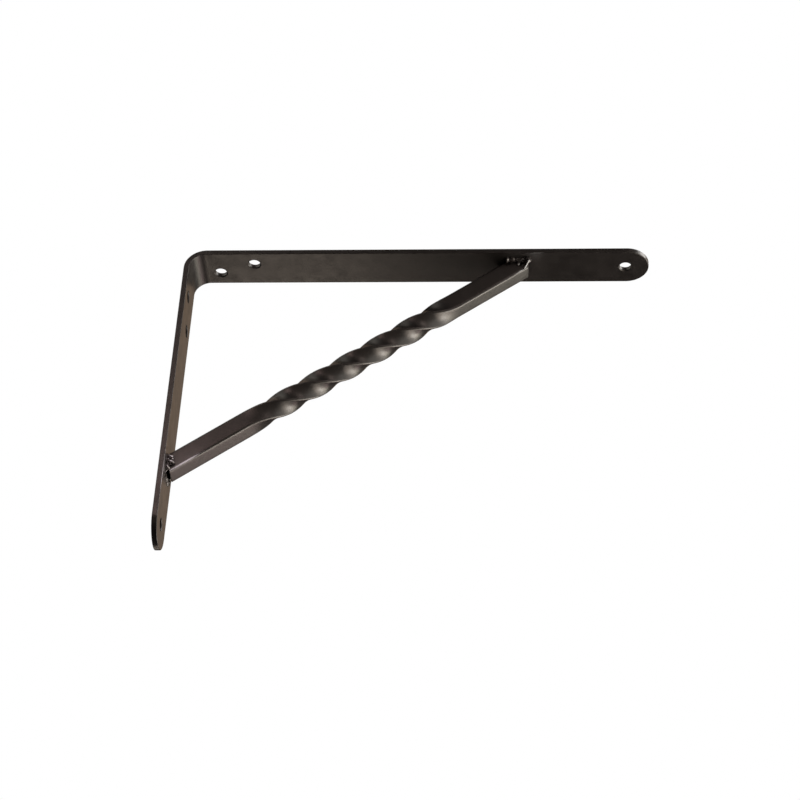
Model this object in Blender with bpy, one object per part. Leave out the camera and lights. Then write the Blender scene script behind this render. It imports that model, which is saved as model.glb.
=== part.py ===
"""Steel shelf bracket: a flat bar bent to an L, with a twisted square bar welded across its corner.

X points out from the wall, Z points up and Y runs across the bar. The origin is on the flat back of the
wall leg, on its centre line, where the bracket bears on the wall. Lengths are in metres.
"""

from math import asin, atan2, cos, exp, pi, radians, sin

import bmesh
import bpy
from mathutils import Vector
from mathutils.geometry import delaunay_2d_cdt

# Flat bar: section, legs measured over the outside of the bend, and the bend
BAR_WIDTH = 0.025
BAR_THICKNESS = 0.003
SHELF_REACH = 0.260
WALL_DROP = 0.192
BEND_INNER_RADIUS = 0.0094
BAR_EDGE_RADIUS = 0.00035
ORIGIN_BELOW_SHELF = 0.100

# Screw holes: distances from the outer corner, and how far the pair near the bend is staggered
HOLE_RADIUS = 0.0033
HOLE_RIM_RADIUS = 0.0006
HOLE_STAGGER = 0.0036
SHELF_HOLE_PAIR = (0.0185, 0.0383)
WALL_HOLE_PAIR = (0.0270, 0.0460)
SHELF_TIP_MARGIN = 0.0130
WALL_TIP_MARGIN = 0.0135
SHELF_TIP_HOLE = SHELF_REACH - SHELF_TIP_MARGIN
WALL_TIP_HOLE = WALL_DROP - WALL_TIP_MARGIN

# Brace: square bar, with its axis given by where it meets the two legs
BRACE_SIDE = 0.0105
BRACE_CORNER_RADIUS = 0.0010
BRACE_FOOT_BELOW_SHELF = 0.1433
BRACE_HEAD_FROM_WALL = 0.1888
BRACE_BLUNT_TIP = 0.1927
TWIST_START = 0.0571
TWIST_END = 0.1804
TWIST_START_EASE = 0.0096
TWIST_END_EASE = 0.0067
TWIST_ANGLE = radians(544)

# The lower part of the foot is cut at a slant, so that it stands open from the wall leg
FOOT_OPEN_HEIGHT = 0.0070
FOOT_OPEN_WIDTH = 0.0024

# Weld beads: each lobe has its distance along the U round the foot, its width, and how far it
# reaches over the bar and rises up the brace
WALL_LOBES = (
    (0.0025, 0.0013, 0.0026, 0.0036),
    (0.0061, 0.0016, 0.0029, 0.0042),
    (0.0097, 0.0012, 0.0026, 0.0022),
    (0.0185, 0.0018, 0.0012, 0.0010),
    (0.0213, 0.0016, 0.0017, 0.0013),
    (0.0243, 0.0015, 0.0015, 0.0012),
    (0.0285, 0.0016, 0.0025, 0.0034),
    (0.0322, 0.0014, 0.0028, 0.0032),
    (0.0346, 0.0011, 0.0018, 0.0022),
)
SHELF_LOBES = (
    (0.0006, 0.0019, 0.0032, 0.0017),
    (0.0034, 0.0026, 0.0032, 0.0013),
    (0.0064, 0.0026, 0.0026, 0.0013),
    (0.0092, 0.0024, 0.0026, 0.0015),
    (0.0116, 0.0016, 0.0032, 0.0021),
    (0.0273, 0.0018, 0.0028, 0.0022),
    (0.0304, 0.0018, 0.0025, 0.0026),
    (0.0334, 0.0016, 0.0026, 0.0023),
)
BEAD_LEAST = 0.0005

# Clearance between pieces that touch, and how near a cut a point counts as on it
GAP = 0.0003
ON_THE_CUT = 1e-7

# Angle between two faces over which the edge they share is drawn sharp
SHARP_ANGLE = radians(35)

# Facets
END_ARC_STEPS = 24
SIDE_STEPS = 32
HOLE_STEPS = 32
EDGE_STEPS = 2
BEND_STEPS = 12
CORNER_STEPS = 2
TWIST_RING_SPACING = 0.0015
STRAIGHT_RING_SPACING = 0.012
BEAD_STATION_SPACING = 0.0008
BEAD_CORNER_STEPS = 3
BEAD_FACE_STEPS = 5

# Worked out from the sizes above
BEND_OUTER_RADIUS = BEND_INNER_RADIUS + BAR_THICKNESS
BEND_MID_RADIUS = BEND_INNER_RADIUS + BAR_THICKNESS / 2
WALL_STRAIGHT = WALL_DROP - BEND_OUTER_RADIUS
BEND_LENGTH = BEND_MID_RADIUS * pi / 2
SHELF_START = WALL_STRAIGHT + BEND_LENGTH
BLANK_LENGTH = SHELF_START + SHELF_REACH - BEND_OUTER_RADIUS
SHELF_Z = ORIGIN_BELOW_SHELF
UNDERSIDE_Z = SHELF_Z - BAR_THICKNESS
BRACE_FOOT = Vector((BAR_THICKNESS, 0.0, SHELF_Z - BRACE_FOOT_BELOW_SHELF))
BRACE_HEAD = Vector((BRACE_HEAD_FROM_WALL, 0.0, UNDERSIDE_Z))
BRACE_LENGTH = (BRACE_HEAD - BRACE_FOOT).length
BRACE_ALONG = (BRACE_HEAD - BRACE_FOOT).normalized()
BRACE_ACROSS = Vector((0.0, 1.0, 0.0))
BRACE_UP = Vector((-BRACE_ALONG.z, 0.0, BRACE_ALONG.x))
BRACE_SLOPE = atan2(BRACE_ALONG.z, BRACE_ALONG.x)
HEAD_TURN = TWIST_ANGLE - 3 * pi
HEAD_HALF_WIDTH = BRACE_SIDE / 2 * (cos(HEAD_TURN) + sin(HEAD_TURN))


def clear_scene():
    for obj in list(bpy.data.objects):
        bpy.data.objects.remove(obj)


def coated_steel(name, colour, roughness):
    """Powder coated steel: the coating is what shows, so it isn't metallic."""
    material = bpy.data.materials.new(name)
    material.use_nodes = True
    shader = material.node_tree.nodes["Principled BSDF"]
    shader.inputs["Base Color"].default_value = (*colour, 1.0)
    shader.inputs["Roughness"].default_value = roughness
    shader.inputs["Metallic"].default_value = 0.0
    return material


def add_object(name, bm, material):
    mesh = bpy.data.meshes.new(name)
    bm.to_mesh(mesh)
    bm.free()
    mesh.shade_smooth()
    mesh.set_sharp_from_angle(angle=SHARP_ANGLE)
    mesh.materials.append(material)
    obj = bpy.data.objects.new(name, mesh)
    bpy.context.scene.collection.objects.link(obj)
    return obj


# Flat bar

def blank_outline():
    """Points round the flat blank, both ends half-round, each with the direction away from the metal."""
    half = BAR_WIDTH / 2
    straight = BLANK_LENGTH - BAR_WIDTH
    outline = []
    for centre, first, onward in ((BLANK_LENGTH - half, -pi / 2, -1), (half, pi / 2, 1)):
        for k in range(END_ARC_STEPS + 1):
            angle = first + pi * k / END_ARC_STEPS
            away = Vector((cos(angle), sin(angle)))
            outline.append((Vector((centre, 0.0)) + away * half, away))
        for k in range(1, SIDE_STEPS):
            along = centre + onward * straight * k / SIDE_STEPS
            outline.append((Vector((along, -onward * half)), Vector((0.0, -onward))))
    return outline


def hole_outline(along, across):
    """Points round a hole, and at each the direction away from the metal."""
    outline = []
    for k in range(HOLE_STEPS):
        angle = 2 * pi * k / HOLE_STEPS
        outward = Vector((cos(angle), sin(angle)))
        outline.append((Vector((along, across)) + outward * HOLE_RADIUS, -outward))
    return outline


def hole_places():
    """Each hole's place on the blank. The first hole of a pair is the one nearer the bend."""
    places = []
    for side, distance in zip((1, -1), SHELF_HOLE_PAIR):
        places.append((SHELF_START + distance - BEND_OUTER_RADIUS, side * HOLE_STAGGER))
    places.append((SHELF_START + SHELF_TIP_HOLE - BEND_OUTER_RADIUS, 0.0))
    for side, distance in zip((-1, 1), WALL_HOLE_PAIR):
        places.append((WALL_DROP - distance, side * HOLE_STAGGER))
    places.append((WALL_DROP - WALL_TIP_HOLE, 0.0))
    return places


def edge_profile(radius):
    """Down an edge rounded at top and bottom: how far in from the outline, and how high."""
    arc = []
    for step in range(EDGE_STEPS + 1):
        angle = pi / 2 * step / EDGE_STEPS
        arc.append((radius * (1 - sin(angle)), BAR_THICKNESS / 2 - radius * (1 - cos(angle))))
    return arc + [(inset, -height) for inset, height in reversed(arc)]


def bent_place(along, across, out):
    """Where a point of the flat blank goes when the bar is bent. out is measured from mid thickness."""
    if along <= WALL_STRAIGHT:
        x = BAR_THICKNESS / 2 - out
        z = along - WALL_DROP
    elif along >= SHELF_START:
        x = BEND_OUTER_RADIUS + along - SHELF_START
        z = out - BAR_THICKNESS / 2
    else:
        angle = (along - WALL_STRAIGHT) / BEND_MID_RADIUS
        radius = BEND_MID_RADIUS + out
        x = BEND_OUTER_RADIUS - radius * cos(angle)
        z = radius * sin(angle) - BEND_OUTER_RADIUS
    return Vector((x, across, z + SHELF_Z))


def fill_flat(bm, rings):
    """Fill one flat of the blank, inside the first ring and outside the others, which go round its holes."""
    verts, ring_numbers, edges = [], [], []
    for number, ring in enumerate(rings):
        edges += [(len(verts) + k, len(verts) + (k + 1) % len(ring)) for k in range(len(ring))]
        verts += ring
        ring_numbers += [number] * len(ring)
    filled = delaunay_2d_cdt([vert.co.xy for vert in verts], edges, [], 0, ON_THE_CUT)
    for triangle in filled[2]:
        corners = [filled[3][corner][0] for corner in triangle]
        numbers = {ring_numbers[corner] for corner in corners}
        if numbers == {0} or len(numbers) > 1:
            bm.faces.new([verts[corner] for corner in corners])


def make_bar(material):
    """Make the flat blank with its holes and rounded edges, then bend it."""
    bm = bmesh.new()
    shapes = [(blank_outline(), BAR_EDGE_RADIUS)]
    shapes += [(hole_outline(*place), HOLE_RIM_RADIUS) for place in hole_places()]
    top, bottom = [], []
    for outline, radius in shapes:
        rings = []
        for inset, height in edge_profile(radius):
            rings.append([bm.verts.new((*(point - away * inset), height)) for point, away in outline])
        for upper, lower in zip(rings, rings[1:]):
            for k in range(len(upper)):
                after = (k + 1) % len(upper)
                bm.faces.new((upper[k], upper[after], lower[after], lower[k]))
        top.append(rings[0])
        bottom.append(rings[-1])
    fill_flat(bm, top)
    fill_flat(bm, bottom)
    bmesh.ops.recalc_face_normals(bm, faces=bm.faces[:])
    for k in range(BEND_STEPS + 1):
        along = WALL_STRAIGHT + BEND_LENGTH * k / BEND_STEPS
        geom = bm.verts[:] + bm.edges[:] + bm.faces[:]
        bmesh.ops.bisect_plane(
            bm, geom=geom, dist=ON_THE_CUT, plane_co=(along, 0, 0), plane_no=(1, 0, 0)
        )
    for vert in bm.verts:
        vert.co = bent_place(*vert.co)
    return add_object("wall_and_shelf_bar", bm, material)


# Twisted brace

def eased(distance, ease):
    """Zero well before a place on the bar, the distance past it well after it, and smooth between."""
    if distance <= -ease:
        return 0.0
    if distance >= ease:
        return distance
    return (distance + ease) ** 2 / (4 * ease)


def twist_at(distance):
    turned = eased(distance - TWIST_START, TWIST_START_EASE)
    turned -= eased(distance - TWIST_END, TWIST_END_EASE)
    return TWIST_ANGLE * turned / (TWIST_END - TWIST_START)


def brace_section():
    """The square with rounded corners, anticlockwise about the bar's axis."""
    flat = BRACE_SIDE / 2 - BRACE_CORNER_RADIUS
    points = []
    for k, (across, up) in enumerate(((1, 1), (-1, 1), (-1, -1), (1, -1))):
        for step in range(CORNER_STEPS + 1):
            angle = pi / 2 * (k + step / CORNER_STEPS)
            points.append(
                (
                    across * flat + BRACE_CORNER_RADIUS * cos(angle),
                    up * flat + BRACE_CORNER_RADIUS * sin(angle),
                )
            )
    return points


def brace_stations():
    """Distances along the axis at which the section is placed, closer together where it twists."""
    over = 2 * BRACE_SIDE
    first, last = TWIST_START - TWIST_START_EASE, TWIST_END + TWIST_END_EASE
    stations = []
    for low, high, spacing in (
        (-over, first, STRAIGHT_RING_SPACING),
        (first, last, TWIST_RING_SPACING),
        (last, BRACE_LENGTH + over, STRAIGHT_RING_SPACING),
    ):
        steps = round((high - low) / spacing)
        stations += [low + (high - low) * k / steps for k in range(steps)]
    return stations + [BRACE_LENGTH + over]


def cut_and_cap(bm, point, outward):
    """Saw off what lies outward of a plane, and close the cut."""
    geom = bm.verts[:] + bm.edges[:] + bm.faces[:]
    cut = bmesh.ops.bisect_plane(
        bm, geom=geom, dist=ON_THE_CUT, plane_co=point, plane_no=outward, clear_outer=True
    )["geom_cut"]
    rim = [item for item in cut if isinstance(item, bmesh.types.BMEdge)]
    bmesh.ops.edgeloop_fill(bm, edges=rim)


def open_foot(bm):
    """Saw the lower part of the foot back from the wall leg at a slant."""
    lowest = BRACE_FOOT.z - BRACE_SIDE / 2 / cos(BRACE_SLOPE)
    outward = Vector((-FOOT_OPEN_HEIGHT, 0.0, -FOOT_OPEN_WIDTH)).normalized()
    cut_and_cap(bm, (BAR_THICKNESS + FOOT_OPEN_WIDTH, 0.0, lowest), outward)


def make_brace(material):
    bm = bmesh.new()
    section = brace_section()
    rings = []
    for distance in brace_stations():
        turn = twist_at(distance)
        centre = BRACE_FOOT + BRACE_ALONG * distance
        ring = []
        for across, up in section:
            turned_across = across * cos(turn) - up * sin(turn)
            turned_up = across * sin(turn) + up * cos(turn)
            ring.append(bm.verts.new(centre + BRACE_ACROSS * turned_across + BRACE_UP * turned_up))
        rings.append(ring)
    for low, high in zip(rings, rings[1:]):
        for k in range(len(section)):
            after = (k + 1) % len(section)
            bm.faces.new((low[k], low[after], high[after], high[k]))
    bm.faces.new(reversed(rings[0]))
    bm.faces.new(rings[-1])
    cut_and_cap(bm, (BAR_THICKNESS + GAP, 0, 0), (-1, 0, 0))
    open_foot(bm)
    cut_and_cap(bm, (0, 0, UNDERSIDE_Z - GAP), (0, 0, 1))
    cut_and_cap(bm, (BRACE_BLUNT_TIP, 0, 0), (1, 0, 0))
    bmesh.ops.recalc_face_normals(bm, faces=bm.faces[:])
    return add_object("twisted_brace", bm, material)


# Weld beads

def lobed(distance, lobes):
    """How far a bead reaches and rises at a distance along it: its lobes there, run together."""
    reach = rise = 0.0
    for place, width, lobe_reach, lobe_rise in lobes:
        swell = exp(-(((distance - place) / width) ** 2))
        reach += (lobe_reach * swell) ** 3
        rise += (lobe_rise * swell) ** 3
    return BEAD_LEAST + reach ** (1 / 3), BEAD_LEAST + rise ** (1 / 3)


def u_path(half_width, length):
    """A U around a foot: down one side, across the end and back. Each place has its outward direction."""
    corner = BRACE_CORNER_RADIUS + GAP
    side = half_width + GAP - corner
    run = length + GAP - corner
    run_steps = round(run / BEAD_STATION_SPACING)
    side_steps = round(2 * side / BEAD_STATION_SPACING)
    places = [((run * k / run_steps, -side - corner), (0.0, -1.0)) for k in range(run_steps)]
    for k in range(BEAD_CORNER_STEPS):
        angle = pi / 2 * (k / BEAD_CORNER_STEPS - 1)
        direction = (cos(angle), sin(angle))
        places.append(((run + corner * direction[0], corner * direction[1] - side), direction))
    for k in range(side_steps):
        places.append(((run + corner, side * (2 * k / side_steps - 1)), (1.0, 0.0)))
    for k in range(BEAD_CORNER_STEPS):
        angle = pi / 2 * k / BEAD_CORNER_STEPS
        direction = (cos(angle), sin(angle))
        places.append(((run + corner * direction[0], corner * direction[1] + side), direction))
    for k in range(run_steps, -1, -1):
        places.append(((run * k / run_steps, side + corner), (0.0, 1.0)))
    return places


def make_bead(name, stations, lobes, material):
    """Loft a bead. Each station has its corner point, a direction over the bar and one up the brace."""
    bm = bmesh.new()
    rings = []
    distance = 0.0
    before = None
    for corner, over, up in stations:
        on_foot = corner - over * GAP
        distance += (on_foot - before).length if before else 0.0
        before = on_foot
        reach, rise = lobed(distance, lobes)
        ring = [bm.verts.new(corner)]
        for step in range(BEAD_FACE_STEPS + 1):
            angle = pi / 2 * step / BEAD_FACE_STEPS
            ring.append(bm.verts.new(corner + over * (reach * cos(angle)) + up * (rise * sin(angle))))
        rings.append(ring)
    for low, high in zip(rings, rings[1:]):
        for k in range(len(low)):
            after = (k + 1) % len(low)
            bm.faces.new((low[k], low[after], high[after], high[k]))
    bm.faces.new(reversed(rings[0]))
    bm.faces.new(rings[-1])
    bmesh.ops.recalc_face_normals(bm, faces=bm.faces[:])
    return add_object(name, bm, material)


def make_wall_bead(material):
    """Down the near side of the brace's foot, under it and up its far side."""
    half_height = BRACE_SIDE / 2 / cos(BRACE_SLOPE)
    x = BAR_THICKNESS + GAP
    top = BRACE_FOOT.z + half_height
    stations = []
    for (down, across), (down_part, across_part) in u_path(BRACE_SIDE / 2, 2 * half_height):
        over = Vector((0.0, across_part, -down_part))
        lean = BRACE_SLOPE * asin(min(1.0, max(0.0, down_part))) / (pi / 2)
        up = Vector((cos(lean), 0.0, sin(lean)))
        stations.append((Vector((x, across, top - down)), over, up))
    return make_bead("weld_at_wall", stations, WALL_LOBES, material)


def make_shelf_bead(material):
    """Along the near side of the brace's head, round its blunt tip and back along its far side."""
    crotch = BRACE_HEAD.x - BRACE_SIDE / 2 / sin(BRACE_SLOPE)
    z = UNDERSIDE_Z - GAP
    up = Vector((0.0, 0.0, -1.0))
    stations = []
    for (along, across), (along_part, across_part) in u_path(HEAD_HALF_WIDTH, BRACE_BLUNT_TIP - crotch):
        over = Vector((along_part, across_part, 0.0))
        stations.append((Vector((crotch + along, across, z)), over, up))
    return make_bead("weld_at_shelf", stations, SHELF_LOBES, material)


def main():
    clear_scene()
    bar_coat = coated_steel("bar_coat", (0.028, 0.024, 0.022), 0.42)
    brace_coat = coated_steel("brace_coat", (0.030, 0.026, 0.023), 0.38)
    weld_coat = coated_steel("weld_coat", (0.034, 0.029, 0.028), 0.30)
    make_bar(bar_coat)
    make_brace(brace_coat)
    make_wall_bead(weld_coat)
    make_shelf_bead(weld_coat)


main()
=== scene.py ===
"""Looks of the steel shelf bracket: finer meshes of its pieces, their coats, the studio and the camera.

X points out from the wall, Z up and Y across the bar, as in the CAD. The origin is on the back of the
wall leg, on its centre line. Lengths are in metres.
"""

from math import asin, atan2, cos, exp, pi, radians, sin, tan

import bmesh
import bpy
from mathutils import Matrix, Vector, noise
from mathutils.geometry import delaunay_2d_cdt

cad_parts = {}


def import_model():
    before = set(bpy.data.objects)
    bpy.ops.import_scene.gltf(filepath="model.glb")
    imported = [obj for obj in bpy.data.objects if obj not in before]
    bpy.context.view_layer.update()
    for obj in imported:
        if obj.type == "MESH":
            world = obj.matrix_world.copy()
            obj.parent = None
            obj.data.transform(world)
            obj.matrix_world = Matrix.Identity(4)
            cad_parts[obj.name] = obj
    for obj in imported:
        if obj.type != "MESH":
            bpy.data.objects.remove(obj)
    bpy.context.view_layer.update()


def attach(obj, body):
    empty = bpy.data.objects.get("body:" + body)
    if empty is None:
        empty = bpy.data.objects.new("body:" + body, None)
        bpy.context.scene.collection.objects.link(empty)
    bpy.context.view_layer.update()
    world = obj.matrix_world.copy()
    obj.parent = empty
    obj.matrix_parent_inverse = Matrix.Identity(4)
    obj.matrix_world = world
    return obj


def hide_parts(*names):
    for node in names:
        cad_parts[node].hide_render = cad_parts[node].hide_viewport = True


# Flat bar, as in the CAD
BAR_WIDTH = 0.025
BAR_THICKNESS = 0.003
SHELF_REACH = 0.260
WALL_DROP = 0.192
BEND_INNER_RADIUS = 0.0094
BAR_EDGE_RADIUS = 0.00035
SHELF_Z = 0.100

# Screw holes, as in the CAD
HOLE_RADIUS = 0.0033
HOLE_RIM_RADIUS = 0.0006
HOLE_STAGGER = 0.0036
SHELF_HOLE_PAIR = (0.0185, 0.0383)
WALL_HOLE_PAIR = (0.0270, 0.0460)
SHELF_TIP_MARGIN = 0.0130
WALL_TIP_MARGIN = 0.0135
SHELF_TIP_HOLE = SHELF_REACH - SHELF_TIP_MARGIN
WALL_TIP_HOLE = WALL_DROP - WALL_TIP_MARGIN

# Brace, as in the CAD but with softer corners, since the coat rounds them off
BRACE_SIDE = 0.0105
BRACE_CORNER_RADIUS = 0.0013
BRACE_FOOT_BELOW_SHELF = 0.1433
BRACE_HEAD_FROM_WALL = 0.1888
BRACE_BLUNT_TIP = 0.1927
TWIST_START = 0.0571
TWIST_END = 0.1804
TWIST_START_EASE = 0.0096
TWIST_END_EASE = 0.0067
TWIST_ANGLE = radians(544)
FOOT_OPEN_HEIGHT = 0.0070
FOOT_OPEN_WIDTH = 0.0024

# How far the sawn edges of the brace are dulled, and how far a welded end runs into its leg
FOOT_EDGE_RADIUS = 0.0005
TIP_EDGE_RADIUS = 0.0004
SUNK = 0.00005

# Welds: each lobe has its distance along the path round the foot, its width, and how far it
# reaches over the bar and rises up the brace
WALL_LOBES = (
    (0.0025, 0.0013, 0.0026, 0.0036),
    (0.0061, 0.0016, 0.0029, 0.0042),
    (0.0097, 0.0012, 0.0026, 0.0022),
    (0.0185, 0.0018, 0.0012, 0.0010),
    (0.0213, 0.0016, 0.0017, 0.0013),
    (0.0243, 0.0015, 0.0015, 0.0012),
    (0.0285, 0.0016, 0.0025, 0.0034),
    (0.0322, 0.0014, 0.0028, 0.0032),
    (0.0346, 0.0011, 0.0018, 0.0022),
)
SHELF_LOBES = (
    (0.0006, 0.0019, 0.0032, 0.0017),
    (0.0034, 0.0026, 0.0032, 0.0013),
    (0.0064, 0.0026, 0.0026, 0.0013),
    (0.0092, 0.0024, 0.0026, 0.0015),
    (0.0116, 0.0016, 0.0032, 0.0021),
    (0.0273, 0.0018, 0.0028, 0.0022),
    (0.0304, 0.0018, 0.0025, 0.0026),
    (0.0334, 0.0016, 0.0026, 0.0023),
)

# The beads: their least size, how deep they reach into the corner, and their ripple
BEAD_LEAST = 0.0002
BEAD_CORE = 0.0010
BEAD_RIPPLE = 0.00022
BEAD_RIPPLE_FREQUENCY = 900

# How sharply neighbouring lobes stand apart where they run together
LOBE_POWER = 3

# The run of metal up the brace's tip, as centres with radii, and drops as centres with half sizes
LIP = (
    ((0.1906, -0.0054, 0.0914), 0.00060),
    ((0.1911, -0.0057, 0.0921), 0.00080),
    ((0.1919, -0.0066, 0.0932), 0.00075),
    ((0.1926, -0.0076, 0.0943), 0.00075),
    ((0.1933, -0.0085, 0.0950), 0.00100),
)
SHELF_DROPS = (
    ((0.1873, -0.0058, 0.0945), (0.0010, 0.0009, 0.0010)),
    ((0.1892, -0.0056, 0.0938), (0.0004, 0.0004, 0.0004)),
    ((0.1786, -0.0050, 0.0966), (0.0005, 0.0005, 0.0005)),
)
WALL_DROPS = (
    ((0.0056, -0.0058, -0.0405), (0.0011, 0.0010, 0.0010)),
)
LIP_STEPS = 5

# The lip and the shelf's drops are flattened to this share, across the direction they face
LIP_THICKNESS = 0.4
DROP_FACING = (0.37, -0.57, -0.73)

# How uneven a drop is, and how quickly that changes over it and from drop to drop
DROP_WOBBLE = 0.15
WOBBLE_FREQUENCY = 1.3
WOBBLE_SHIFT = 800

# The rough lower zone that punching leaves in a hole
TEAR_STEPS = 9
TEAR_BLEND = 0.0004
TEAR_DEPTH = 0.00016
TEAR_MEAN = 0.6
TEAR_FREQUENCY = 1600

# Fineness
END_ARC_STEPS = 72
SIDE_STEPS = 80
HOLE_STEPS = 72
EDGE_STEPS = 4
BEND_STEPS = 36
DULLED_STEPS = 3
TWIST_RING_SPACING = 0.0006
STRAIGHT_RING_SPACING = 0.006
FLAT_STEPS = 4
CORNER_STEPS = 5
BEAD_STATION_SPACING = 0.0003
BEAD_CORNER_STEPS = 6
BEAD_FACE_STEPS = 12
DROP_SUBDIVISIONS = 3
WELD_VOXEL = 0.00019
FLOW_FACTOR = 0.5
FLOW_PASSES = 3

# How near a point counts as on a cut, and on the wall of a hole
ON_THE_CUT = 1e-7
ON_THE_WALL = 1e-5

# Coats: colour, roughness, mottle and the depth of the orange peel
BAR_COAT = ((0.005, 0.0042, 0.0038), 0.36, 0.12, 0.00003)
BRACE_COAT = BAR_COAT
WELD_COAT = ((0.009, 0.0075, 0.007), 0.29, 0.15, 0.00004)
COAT_IOR = 1.5
GLOSS_SPREAD = 0.04
GRAIN_SHARE_OF_PEEL = 1 / 6

# Noise in the coats, as scale and detail, and the range that its values mostly stay in
PATCH_NOISE = (55, 3)
GLOSS_NOISE = (160, 4)
PEEL_NOISE = (700, 2)
GRAIN_NOISE = (3200, 2)
NOISE_LOW = 0.3
NOISE_HIGH = 0.7

# Studio: the floor, the white behind the bracket and the faint fill
FLOOR_PLACE = (0.1, 0.0, -4.0)
FLOOR_RADIUS = 16.0
FLOOR_STEPS = 64
FLOOR_COLOUR = (0.10, 0.10, 0.10)
FLOOR_GLOW = (0.80, 0.80, 0.79)
FLOOR_ROUGHNESS = 0.9
BACKGROUND = (1.0, 1.0, 1.0)
FILL = (0.045, 0.042, 0.042)

# Camera: place, how far it stands off square and looks up from below, roll, and lens and sensor
# in millimetres
CAMERA_PLACE = (0.198408, -0.935265, -0.717527)
CAMERA_AZIMUTH = radians(4.545)
CAMERA_ELEVATION = radians(-37.523)
CAMERA_ROLL = radians(2.727)
CAMERA_LENS = 99.0
CAMERA_SENSOR = 36.0

# Lights that face the middle of the bracket: azimuth in degrees from +Y towards +X, elevation,
# distance, angular radius, power and colour. The list wasn't designed by hand: a least-squares fit
# to the tones of the photo, in another program, chose it, and it was then rounded and partly adjusted.
BRACKET_MIDDLE = (0.12, 0.0, 0.03)
LIGHTS = (
    (92, 6, 1.5, 42, 31.9, (1.0, 0.94, 0.85)),
    (88, 40, 1.5, 14, 11.0, (1.0, 0.97, 0.94)),
    (-108, 48, 1.5, 30, 8.2, (1.0, 0.93, 0.83)),
    (69, -32, 1.5, 9, 7.1, (1.0, 0.97, 0.91)),
    (56, -23, 1.5, 9, 5.9, (1.0, 0.88, 0.75)),
    (157, 0, 1.5, 42, 5.1, (1.0, 0.78, 0.65)),
    (17, 62, 1.5, 42, 4.7, (1.0, 0.69, 0.48)),
    (81, -41, 0.6, 20, 2.4, (1.0, 0.84, 0.70)),
    (44, -15, 1.5, 9, 2.2, (1.0, 0.95, 0.78)),
    (152, 20, 1.5, 9, 1.8, (1.0, 0.80, 0.73)),
    (36, -28, 1.5, 9, 1.8, (1.0, 0.72, 0.69)),
    (8, 37, 1.5, 12, 0.2, (1.0, 0.70, 0.42)),
    (-155, 22, 0.6, 9, 0.36, (1.0, 0.72, 0.66)),
    (-16, -30, 0.6, 9, 0.29, (1.0, 0.84, 0.70)),
)

# Small lights close to the two welds: the place that they face, then as above
WELD_LIGHTS = (
    ((0.1905, -0.0060, 0.0940), 115, -45, 0.010, 15, 0.0012, (1.0, 0.96, 0.90)),
    ((0.0050, -0.0080, -0.0425), 128, -11, 0.015, 32, 0.0115, (1.0, 0.86, 0.90)),
)

# Worked out from the sizes above
BEND_OUTER_RADIUS = BEND_INNER_RADIUS + BAR_THICKNESS
BEND_MID_RADIUS = BEND_INNER_RADIUS + BAR_THICKNESS / 2
WALL_STRAIGHT = WALL_DROP - BEND_OUTER_RADIUS
BEND_LENGTH = BEND_MID_RADIUS * pi / 2
SHELF_START = WALL_STRAIGHT + BEND_LENGTH
BLANK_LENGTH = SHELF_START + SHELF_REACH - BEND_OUTER_RADIUS
UNDERSIDE_Z = SHELF_Z - BAR_THICKNESS
BRACE_FOOT = Vector((BAR_THICKNESS, 0.0, SHELF_Z - BRACE_FOOT_BELOW_SHELF))
BRACE_HEAD = Vector((BRACE_HEAD_FROM_WALL, 0.0, UNDERSIDE_Z))
BRACE_LENGTH = (BRACE_HEAD - BRACE_FOOT).length
BRACE_ALONG = (BRACE_HEAD - BRACE_FOOT).normalized()
BRACE_ACROSS = Vector((0.0, 1.0, 0.0))
BRACE_UP = Vector((-BRACE_ALONG.z, 0.0, BRACE_ALONG.x))
HEAD_TURN = TWIST_ANGLE - 3 * pi
HEAD_HALF_WIDTH = BRACE_SIDE / 2 * (cos(HEAD_TURN) + sin(HEAD_TURN))
BRACE_SLOPE = atan2(BRACE_ALONG.z, BRACE_ALONG.x)


def add_piece(name, bm, material, node):
    """A finished piece that rides on the bracket and stands for its CAD node."""
    mesh = bpy.data.meshes.new(name)
    bm.to_mesh(mesh)
    bm.free()
    mesh.shade_smooth()
    mesh.materials.append(material)
    obj = bpy.data.objects.new(name, mesh)
    bpy.context.scene.collection.objects.link(obj)
    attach(obj, "root")
    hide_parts(node)
    return obj


# Flat bar

def blank_outline():
    """Points round the flat blank, both ends half-round, each with the direction away from the metal."""
    half = BAR_WIDTH / 2
    straight = BLANK_LENGTH - BAR_WIDTH
    outline = []
    for centre, first, onward in ((BLANK_LENGTH - half, -pi / 2, -1), (half, pi / 2, 1)):
        for k in range(END_ARC_STEPS + 1):
            angle = first + pi * k / END_ARC_STEPS
            away = Vector((cos(angle), sin(angle)))
            outline.append((Vector((centre, 0.0)) + away * half, away))
        for k in range(1, SIDE_STEPS):
            along = centre + onward * straight * k / SIDE_STEPS
            outline.append((Vector((along, -onward * half)), Vector((0.0, -onward))))
    return outline


def hole_outline(along, across):
    """Points round a hole, and at each the direction away from the metal."""
    outline = []
    for k in range(HOLE_STEPS):
        angle = 2 * pi * k / HOLE_STEPS
        outward = Vector((cos(angle), sin(angle)))
        outline.append((Vector((along, across)) + outward * HOLE_RADIUS, -outward))
    return outline


def hole_places():
    """Each hole's place on the flat blank. The first hole of a pair is the one nearer the bend."""
    places = []
    for side, distance in zip((1, -1), SHELF_HOLE_PAIR):
        places.append((SHELF_START + distance - BEND_OUTER_RADIUS, side * HOLE_STAGGER))
    places.append((SHELF_START + SHELF_TIP_HOLE - BEND_OUTER_RADIUS, 0.0))
    for side, distance in zip((-1, 1), WALL_HOLE_PAIR):
        places.append((WALL_DROP - distance, side * HOLE_STAGGER))
    places.append((WALL_DROP - WALL_TIP_HOLE, 0.0))
    return places


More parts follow.
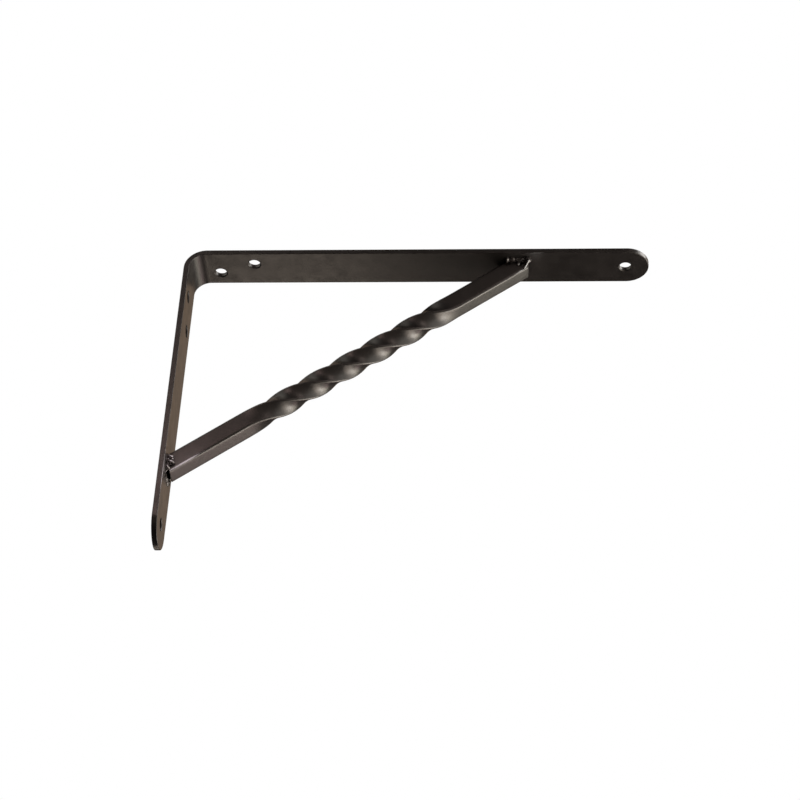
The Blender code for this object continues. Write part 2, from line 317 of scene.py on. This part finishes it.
def bent_place(along, across, out):
    """Where a point of the flat blank goes when the bar is bent. out is measured from mid thickness."""
    if along <= WALL_STRAIGHT:
        x = BAR_THICKNESS / 2 - out
        z = along - WALL_DROP
    elif along >= SHELF_START:
        x = BEND_OUTER_RADIUS + along - SHELF_START
        z = out - BAR_THICKNESS / 2
    else:
        angle = (along - WALL_STRAIGHT) / BEND_MID_RADIUS
        radius = BEND_MID_RADIUS + out
        x = BEND_OUTER_RADIUS - radius * cos(angle)
        z = radius * sin(angle) - BEND_OUTER_RADIUS
    return Vector((x, across, z + SHELF_Z))


def bent_direction(along, direction):
    """A direction at a place of the flat blank, turned as the bend turns it."""
    angle = min(pi / 2, max(0.0, (along - WALL_STRAIGHT) / BEND_MID_RADIUS))
    tangent = Vector((sin(angle), 0.0, cos(angle)))
    outward = Vector((-cos(angle), 0.0, sin(angle)))
    return tangent * direction.x + BRACE_ACROSS * direction.y + outward * direction.z


def face_direction(point):
    """The way the surface of the flat blank faces at a point of it, or None on the wall of a hole."""
    edge_radius = BAR_EDGE_RADIUS
    middle = min(BLANK_LENGTH - BAR_WIDTH / 2, max(BAR_WIDTH / 2, point.x))
    away = Vector((point.x - middle, point.y, 0.0))
    for along, across in hole_places():
        inward = Vector((along - point.x, across - point.y, 0.0))
        if inward.length < HOLE_RADIUS + HOLE_RIM_RADIUS + ON_THE_WALL:
            edge_radius = HOLE_RIM_RADIUS
            away = inward
            if abs(point.z) < BAR_THICKNESS / 2 - HOLE_RIM_RADIUS - ON_THE_WALL:
                return None
    rounded = (abs(point.z) - BAR_THICKNESS / 2 + edge_radius) / edge_radius
    if rounded > 1 - ON_THE_WALL:
        return Vector((0.0, 0.0, point.z)).normalized()
    angle = asin(max(0.0, rounded))
    return away.normalized() * cos(angle) + Vector((0.0, 0.0, point.z)).normalized() * sin(angle)


def edge_profile(radius, wall_steps):
    """Down an edge rounded at top and bottom: how far in from the outline, and how high."""
    half = BAR_THICKNESS / 2
    arc = []
    for step in range(EDGE_STEPS + 1):
        angle = pi / 2 * step / EDGE_STEPS
        arc.append((radius * (1 - sin(angle)), half - radius * (1 - cos(angle))))
    wall = [(0.0, (half - radius) * (1 - 2 * k / wall_steps)) for k in range(1, wall_steps)]
    return arc + wall + [(inset, -height) for inset, height in reversed(arc)]


def torn(point, height):
    """How much wider a hole is at a place in its wall, in the rough zone that punching leaves."""
    share = min(1.0, max(0.0, height / TEAR_BLEND + 0.5))
    return share * TEAR_DEPTH * (
        TEAR_MEAN + noise.noise(Vector((*point, height)) * TEAR_FREQUENCY)
    )


def fill_flat(bm, rings):
    """Fill a flat of the blank, inside the first ring and outside the others, which are its holes."""
    verts, ring_numbers, edges = [], [], []
    for number, ring in enumerate(rings):
        edges += [(len(verts) + k, len(verts) + (k + 1) % len(ring)) for k in range(len(ring))]
        verts += ring
        ring_numbers += [number] * len(ring)
    filled = delaunay_2d_cdt([vert.co.xy for vert in verts], edges, [], 0, ON_THE_CUT)
    for triangle in filled[2]:
        corners = [filled[3][corner][0] for corner in triangle]
        numbers = {ring_numbers[corner] for corner in corners}
        if numbers == {0} or len(numbers) > 1:
            bm.faces.new([verts[corner] for corner in corners])


def make_bar(material):
    """Make the flat blank with its holes and rounded edges, then bend it."""
    bm = bmesh.new()
    shapes = [(blank_outline(), BAR_EDGE_RADIUS, 1)]
    shapes += [(hole_outline(*place), HOLE_RIM_RADIUS, TEAR_STEPS) for place in hole_places()]
    top, bottom = [], []
    for outline, radius, wall_steps in shapes:
        rings = []
        wall_end = BAR_THICKNESS / 2 - radius - ON_THE_WALL
        for inset, height in edge_profile(radius, wall_steps):
            ring = []
            for point, away in outline:
                depth = inset
                if abs(height) < wall_end:
                    depth += torn(point, height)
                ring.append(bm.verts.new((*(point - away * depth), height)))
            rings.append(ring)
        for upper, lower in zip(rings, rings[1:]):
            for k in range(len(upper)):
                after = (k + 1) % len(upper)
                bm.faces.new((upper[k], upper[after], lower[after], lower[k]))
        top.append(rings[0])
        bottom.append(rings[-1])
    fill_flat(bm, top)
    fill_flat(bm, bottom)
    bmesh.ops.recalc_face_normals(bm, faces=bm.faces[:])
    for k in range(BEND_STEPS + 1):
        along = WALL_STRAIGHT + BEND_LENGTH * k / BEND_STEPS
        geom = bm.verts[:] + bm.edges[:] + bm.faces[:]
        bmesh.ops.bisect_plane(
            bm, geom=geom, dist=ON_THE_CUT, plane_co=(along, 0, 0), plane_no=(1, 0, 0)
        )
    faced = []
    for vert in bm.verts:
        direction = face_direction(vert.co)
        faced.append(direction and bent_direction(vert.co.x, direction))
        vert.co = bent_place(*vert.co)
    bm.normal_update()
    normals = [direction or vert.normal.copy() for direction, vert in zip(faced, bm.verts)]
    obj = add_piece("flat_bar", bm, material, "wall_and_shelf_bar")
    obj.data.normals_split_custom_set_from_vertices(normals)
    return obj


# Twisted brace

def eased(distance, ease):
    """Zero well before a place on the bar, the distance past it well after it, and smooth between."""
    if distance <= -ease:
        return 0.0
    if distance >= ease:
        return distance
    return (distance + ease) ** 2 / (4 * ease)


def twist_at(distance):
    turned = eased(distance - TWIST_START, TWIST_START_EASE)
    turned -= eased(distance - TWIST_END, TWIST_END_EASE)
    return TWIST_ANGLE * turned / (TWIST_END - TWIST_START)


def brace_section():
    """The square with rounded corners and divided flats, anticlockwise about the bar's axis."""
    flat = BRACE_SIDE / 2 - BRACE_CORNER_RADIUS
    corners = ((1, 1), (-1, 1), (-1, -1), (1, -1))
    points = []
    for k, (across, up) in enumerate(corners):
        arc = []
        for step in range(CORNER_STEPS + 1):
            angle = pi / 2 * (k + step / CORNER_STEPS)
            arc.append(
                Vector(
                    (
                        across * flat + BRACE_CORNER_RADIUS * cos(angle),
                        up * flat + BRACE_CORNER_RADIUS * sin(angle),
                    )
                )
            )
        points += arc
        next_across, next_up = corners[(k + 1) % 4]
        angle = pi / 2 * (k + 1)
        end = Vector(
            (
                next_across * flat + BRACE_CORNER_RADIUS * cos(angle),
                next_up * flat + BRACE_CORNER_RADIUS * sin(angle),
            )
        )
        points += [arc[-1].lerp(end, step / FLAT_STEPS) for step in range(1, FLAT_STEPS)]
    return points


def brace_stations():
    over = 2 * BRACE_SIDE
    first, last = TWIST_START - TWIST_START_EASE, TWIST_END + TWIST_END_EASE
    stations = []
    for low, high, spacing in (
        (-over, first, STRAIGHT_RING_SPACING),
        (first, last, TWIST_RING_SPACING),
        (last, BRACE_LENGTH + over, STRAIGHT_RING_SPACING),
    ):
        steps = round((high - low) / spacing)
        stations += [low + (high - low) * k / steps for k in range(steps)]
    return stations + [BRACE_LENGTH + over]


def cut_and_cap(bm, point, outward):
    """Saw off what lies outward of a plane, and close the cut. Returns the cut's edges."""
    geom = bm.verts[:] + bm.edges[:] + bm.faces[:]
    cut = bmesh.ops.bisect_plane(
        bm, geom=geom, dist=ON_THE_CUT, plane_co=point, plane_no=outward, clear_outer=True
    )["geom_cut"]
    rim = [item for item in cut if isinstance(item, bmesh.types.BMEdge)]
    bmesh.ops.edgeloop_fill(bm, edges=rim)
    return rim


def dull(bm, edges, radius):
    """Round sawn edges off."""
    bmesh.ops.bevel(
        bm,
        geom=edges,
        offset=radius,
        segments=DULLED_STEPS,
        profile=0.5,
        affect="EDGES",
        clamp_overlap=True,
    )


def open_foot(bm):
    """Saw the lower part of the foot back from the wall at a slant, and dull the edge this leaves."""
    low = Vector((BAR_THICKNESS, 0.0, BRACE_FOOT.z - BRACE_SIDE / 2 / cos(BRACE_SLOPE)))
    outward = Vector((-FOOT_OPEN_HEIGHT, 0.0, -FOOT_OPEN_WIDTH)).normalized()
    rim = cut_and_cap(bm, low + Vector((FOOT_OPEN_WIDTH, 0.0, 0.0)), outward)
    lowest = min(vert.co.z for edge in rim for vert in edge.verts)
    dulled = [e for e in rim if max(v.co.z for v in e.verts) < lowest + BRACE_CORNER_RADIUS]
    dull(bm, dulled, FOOT_EDGE_RADIUS)


def keep_flats_flat(obj):
    """Large faces decide the normals where they meet the rounded edges."""
    weighted = obj.modifiers.new("weighted_normals", "WEIGHTED_NORMAL")
    weighted.mode = "FACE_AREA"
    weighted.weight = 100
    weighted.keep_sharp = False


def make_brace(material):
    bm = bmesh.new()
    section = brace_section()
    rings = []
    for distance in brace_stations():
        turn = twist_at(distance)
        centre = BRACE_FOOT + BRACE_ALONG * distance
        ring = []
        for across, up in section:
            turned_across = across * cos(turn) - up * sin(turn)
            turned_up = across * sin(turn) + up * cos(turn)
            ring.append(bm.verts.new(centre + BRACE_ACROSS * turned_across + BRACE_UP * turned_up))
        rings.append(ring)
    for low, high in zip(rings, rings[1:]):
        for k in range(len(section)):
            after = (k + 1) % len(section)
            bm.faces.new((low[k], low[after], high[after], high[k]))
    bm.faces.new(reversed(rings[0]))
    bm.faces.new(rings[-1])
    cut_and_cap(bm, (BAR_THICKNESS - SUNK, 0, 0), (-1, 0, 0))
    open_foot(bm)
    cut_and_cap(bm, (0, 0, UNDERSIDE_Z + SUNK), (0, 0, 1))
    tip = cut_and_cap(bm, (BRACE_BLUNT_TIP, 0, 0), (1, 0, 0))
    low_rim = [e for e in tip if min(v.co.z for v in e.verts) < UNDERSIDE_Z]
    dull(bm, low_rim, TIP_EDGE_RADIUS)
    bmesh.ops.recalc_face_normals(bm, faces=bm.faces[:])
    obj = add_piece("brace", bm, material, "twisted_brace")
    keep_flats_flat(obj)
    return obj


# Welds

def lobed(distance, lobes):
    """How far a bead reaches and rises at a distance along it: its lobes there, run together."""
    reach = rise = 0.0
    for place, width, lobe_reach, lobe_rise in lobes:
        swell = exp(-(((distance - place) / width) ** 2))
        reach += (lobe_reach * swell) ** LOBE_POWER
        rise += (lobe_rise * swell) ** LOBE_POWER
    return BEAD_LEAST + reach ** (1 / LOBE_POWER), BEAD_LEAST + rise ** (1 / LOBE_POWER)


def u_path(half_width, length):
    """A U around a foot: down one side, across the end and back. Each place has its outward direction."""
    corner = BRACE_CORNER_RADIUS
    side = half_width - corner
    run = length - corner
    run_steps = round(run / BEAD_STATION_SPACING)
    side_steps = round(2 * side / BEAD_STATION_SPACING)
    places = [((run * k / run_steps, -half_width), (0.0, -1.0)) for k in range(run_steps)]
    for k in range(BEAD_CORNER_STEPS):
        angle = pi / 2 * (k / BEAD_CORNER_STEPS - 1)
        direction = (cos(angle), sin(angle))
        places.append(((run + corner * direction[0], corner * direction[1] - side), direction))
    places += [((length, side * (2 * k / side_steps - 1)), (1.0, 0.0)) for k in range(side_steps)]
    for k in range(BEAD_CORNER_STEPS):
        angle = pi / 2 * k / BEAD_CORNER_STEPS
        direction = (cos(angle), sin(angle))
        places.append(((run + corner * direction[0], corner * direction[1] + side), direction))
    places += [((run * k / run_steps, half_width), (0.0, 1.0)) for k in range(run_steps, -1, -1)]
    return places


def loft_bead(bm, stations, lobes):
    """Loft a bead. Each station has its corner point, a direction over the bar and one up the brace."""
    rings = []
    distance = 0.0
    before = stations[0][0]
    for corner, over, up in stations:
        distance += (corner - before).length
        before = corner
        reach, rise = lobed(distance, lobes)
        ring = [bm.verts.new(corner - (over + up) * BEAD_CORE)]
        for step in range(BEAD_FACE_STEPS + 1):
            angle = pi / 2 * step / BEAD_FACE_STEPS
            place = corner + over * (reach * cos(angle)) + up * (rise * sin(angle))
            ripple = noise.noise(place * BEAD_RIPPLE_FREQUENCY) * BEAD_RIPPLE * sin(2 * angle)
            ring.append(bm.verts.new(place + (over + up).normalized() * ripple))
        rings.append(ring)
    for low, high in zip(rings, rings[1:]):
        for k in range(len(low)):
            after = (k + 1) % len(low)
            bm.faces.new((low[k], low[after], high[after], high[k]))
    bm.faces.new(reversed(rings[0]))
    bm.faces.new(rings[-1])


def add_drop(bm, centre, radii, thickness=1.0):
    """A drop of weld metal, round or flattened."""
    made = bmesh.ops.create_icosphere(bm, subdivisions=DROP_SUBDIVISIONS, radius=1.0)["verts"]
    facing = Vector(DROP_FACING).normalized()
    for vert in made:
        seed = vert.co * WOBBLE_FREQUENCY + Vector(centre) * WOBBLE_SHIFT
        wobble = 1 + DROP_WOBBLE * noise.noise(seed)
        place = Vector([r * v * wobble for r, v in zip(radii, vert.co)])
        vert.co = Vector(centre) + place - facing * (place.dot(facing) * (1 - thickness))


def add_lip(bm):
    """A narrow run of weld metal up the near corner of the brace's blunt tip."""
    for (low, low_radius), (high, high_radius) in zip(LIP, LIP[1:]):
        for k in range(LIP_STEPS + 1):
            share = k / LIP_STEPS
            radius = low_radius + (high_radius - low_radius) * share
            add_drop(bm, Vector(low).lerp(Vector(high), share), (radius,) * 3, LIP_THICKNESS)


def run_together(name, bm, material, node):
    """One skin over everything in a weld, as the molten metal had."""
    bmesh.ops.recalc_face_normals(bm, faces=bm.faces[:])
    obj = add_piece(name, bm, material, node)
    skin = obj.modifiers.new("skin", "REMESH")
    skin.mode = "VOXEL"
    skin.voxel_size = WELD_VOXEL
    skin.use_smooth_shade = True
    flow = obj.modifiers.new("flow", "SMOOTH")
    flow.factor = FLOW_FACTOR
    flow.iterations = FLOW_PASSES
    return obj


def make_wall_weld(material):
    half_height = BRACE_SIDE / 2 / cos(BRACE_SLOPE)
    top = BRACE_FOOT.z + half_height
    stations = []
    for (down, across), (down_part, across_part) in u_path(BRACE_SIDE / 2, 2 * half_height):
        over = Vector((0.0, across_part, -down_part))
        lean = BRACE_SLOPE * asin(min(1.0, max(0.0, down_part))) / (pi / 2)
        up = Vector((cos(lean), 0.0, sin(lean)))
        stations.append((Vector((BAR_THICKNESS, across, top - down)), over, up))
    bm = bmesh.new()
    loft_bead(bm, stations, WALL_LOBES)
    for centre, radii in WALL_DROPS:
        add_drop(bm, centre, radii)
    return run_together("wall_weld", bm, material, "weld_at_wall")


def make_shelf_weld(material):
    crotch = BRACE_HEAD.x - BRACE_SIDE / 2 / sin(BRACE_SLOPE)
    up = Vector((0.0, 0.0, -1.0))
    stations = []
    for (along, across), (along_part, across_part) in u_path(HEAD_HALF_WIDTH, BRACE_BLUNT_TIP - crotch):
        over = Vector((along_part, across_part, 0.0))
        stations.append((Vector((crotch + along, across, UNDERSIDE_Z)), over, up))
    bm = bmesh.new()
    loft_bead(bm, stations, SHELF_LOBES)
    add_lip(bm)
    for centre, radii in SHELF_DROPS:
        add_drop(bm, centre, radii, LIP_THICKNESS)
    return run_together("shelf_weld", bm, material, "weld_at_shelf")


# Coats

def coat(name, colour, roughness, mottle, peel):
    """Powder coat: colour that varies a little, an orange-peel skin, and a fine grain in it."""
    material = bpy.data.materials.new(name)
    material.use_nodes = True
    tree = material.node_tree
    shader = tree.nodes["Principled BSDF"]
    shader.inputs["Metallic"].default_value = 0.0
    shader.inputs["IOR"].default_value = COAT_IOR
    place = tree.nodes.new("ShaderNodeTexCoord").outputs["Object"]

    def noise_node(scale, detail):
        node = tree.nodes.new("ShaderNodeTexNoise")
        node.inputs["Scale"].default_value = scale
        node.inputs["Detail"].default_value = detail
        tree.links.new(place, node.inputs["Vector"])
        return node.outputs["Fac"]

    patches = noise_node(*PATCH_NOISE)
    ramp = tree.nodes.new("ShaderNodeValToRGB")
    dark = [c * (1 - mottle) for c in colour]
    light = [c * (1 + mottle) for c in colour]
    ramp.color_ramp.elements[0].position = NOISE_LOW
    ramp.color_ramp.elements[0].color = (*dark, 1)
    ramp.color_ramp.elements[1].position = NOISE_HIGH
    ramp.color_ramp.elements[1].color = (*light, 1)
    tree.links.new(patches, ramp.inputs["Fac"])
    tree.links.new(ramp.outputs["Color"], shader.inputs["Base Color"])

    gloss = tree.nodes.new("ShaderNodeMapRange")
    gloss.inputs["From Min"].default_value = NOISE_LOW
    gloss.inputs["From Max"].default_value = NOISE_HIGH
    gloss.inputs["To Min"].default_value = roughness - GLOSS_SPREAD
    gloss.inputs["To Max"].default_value = roughness + GLOSS_SPREAD
    tree.links.new(noise_node(*GLOSS_NOISE), gloss.inputs["Value"])
    tree.links.new(gloss.outputs["Result"], shader.inputs["Roughness"])

    skin = tree.nodes.new("ShaderNodeBump")
    skin.inputs["Strength"].default_value = 1.0
    skin.inputs["Distance"].default_value = peel
    tree.links.new(noise_node(*PEEL_NOISE), skin.inputs["Height"])
    grain = tree.nodes.new("ShaderNodeBump")
    grain.inputs["Strength"].default_value = 1.0
    grain.inputs["Distance"].default_value = peel * GRAIN_SHARE_OF_PEEL
    tree.links.new(noise_node(*GRAIN_NOISE), grain.inputs["Height"])
    tree.links.new(skin.outputs["Normal"], grain.inputs["Normal"])
    tree.links.new(grain.outputs["Normal"], shader.inputs["Normal"])
    return material


# Studio

def floor_paint():
    """Pale paint with a glow of its own, so that the floor is pale in every view."""
    material = bpy.data.materials.new("floor_paint")
    material.use_nodes = True
    shader = material.node_tree.nodes["Principled BSDF"]
    shader.inputs["Base Color"].default_value = (*FLOOR_COLOUR, 1.0)
    shader.inputs["Roughness"].default_value = FLOOR_ROUGHNESS
    shader.inputs["Emission Color"].default_value = (*FLOOR_GLOW, 1.0)
    shader.inputs["Emission Strength"].default_value = 1.0
    return material


def add_floor():
    """A floor far below that is seen, but throws no light up at the bracket."""
    bm = bmesh.new()
    bmesh.ops.create_circle(bm, cap_ends=True, segments=FLOOR_STEPS, radius=FLOOR_RADIUS)
    mesh = bpy.data.meshes.new("floor")
    bm.to_mesh(mesh)
    bm.free()
    mesh.materials.append(floor_paint())
    floor = bpy.data.objects.new("floor", mesh)
    floor.location = FLOOR_PLACE
    floor.visible_diffuse = False
    floor.visible_glossy = False
    bpy.context.scene.collection.objects.link(floor)


def add_light(aim, azimuth, elevation, distance, radius, power, colour):
    """A soft round light."""
    a, e = radians(azimuth), radians(elevation)
    away = Vector((sin(a) * cos(e), cos(a) * cos(e), sin(e)))
    light = bpy.data.lights.new("soft_light", "AREA")
    light.shape = "DISK"
    light.size = 2 * distance * tan(radians(radius))
    light.energy = power
    light.color = colour
    obj = bpy.data.objects.new("soft_light", light)
    obj.location = Vector(aim) + away * distance
    obj.rotation_euler = away.to_track_quat("Z", "Y").to_euler()
    obj.visible_camera = False
    bpy.context.scene.collection.objects.link(obj)


def add_world():
    """Plain white seen behind the bracket, and a faint even light all round it."""
    world = bpy.data.worlds.new("studio")
    world.use_nodes = True
    tree = world.node_tree
    even = tree.nodes["Background"]
    even.inputs["Color"].default_value = (*FILL, 1.0)
    seen = tree.nodes.new("ShaderNodeBackground")
    seen.inputs["Color"].default_value = (*BACKGROUND, 1.0)
    mix = tree.nodes.new("ShaderNodeMixShader")
    path = tree.nodes.new("ShaderNodeLightPath")
    tree.links.new(path.outputs["Is Camera Ray"], mix.inputs["Fac"])
    tree.links.new(even.outputs["Background"], mix.inputs[1])
    tree.links.new(seen.outputs["Background"], mix.inputs[2])
    tree.links.new(mix.outputs["Shader"], tree.nodes["World Output"].inputs["Surface"])
    bpy.context.scene.world = world


def add_camera():
    """The camera of the photo, fitted to the bracket's outline."""
    back = Vector(
        (
            sin(CAMERA_AZIMUTH) * cos(CAMERA_ELEVATION),
            -cos(CAMERA_AZIMUTH) * cos(CAMERA_ELEVATION),
            sin(CAMERA_ELEVATION),
        )
    )
    level = Vector((cos(CAMERA_AZIMUTH), sin(CAMERA_AZIMUTH), 0.0))
    up = back.cross(level)
    right = level * cos(CAMERA_ROLL) + up * sin(CAMERA_ROLL)
    up = back.cross(right)
    camera = bpy.data.cameras.new("camera")
    camera.lens = CAMERA_LENS
    camera.sensor_width = CAMERA_SENSOR
    obj = bpy.data.objects.new("camera", camera)
    matrix = Matrix((right, up, back)).transposed().to_4x4()
    matrix.translation = CAMERA_PLACE
    obj.matrix_world = matrix
    bpy.context.scene.collection.objects.link(obj)
    bpy.context.scene.camera = obj


def main():
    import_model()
    bar_coat = coat("bar_powder_coat", *BAR_COAT)
    brace_coat = coat("brace_powder_coat", *BRACE_COAT)
    weld_coat = coat("weld_powder_coat", *WELD_COAT)
    make_bar(bar_coat)
    make_brace(brace_coat)
    make_wall_weld(weld_coat)
    make_shelf_weld(weld_coat)
    add_floor()
    add_world()
    for light in LIGHTS:
        add_light(BRACKET_MIDDLE, *light)
    for light in WELD_LIGHTS:
        add_light(*light)
    add_camera()
    bpy.context.scene.view_settings.view_transform = "Standard"


main()
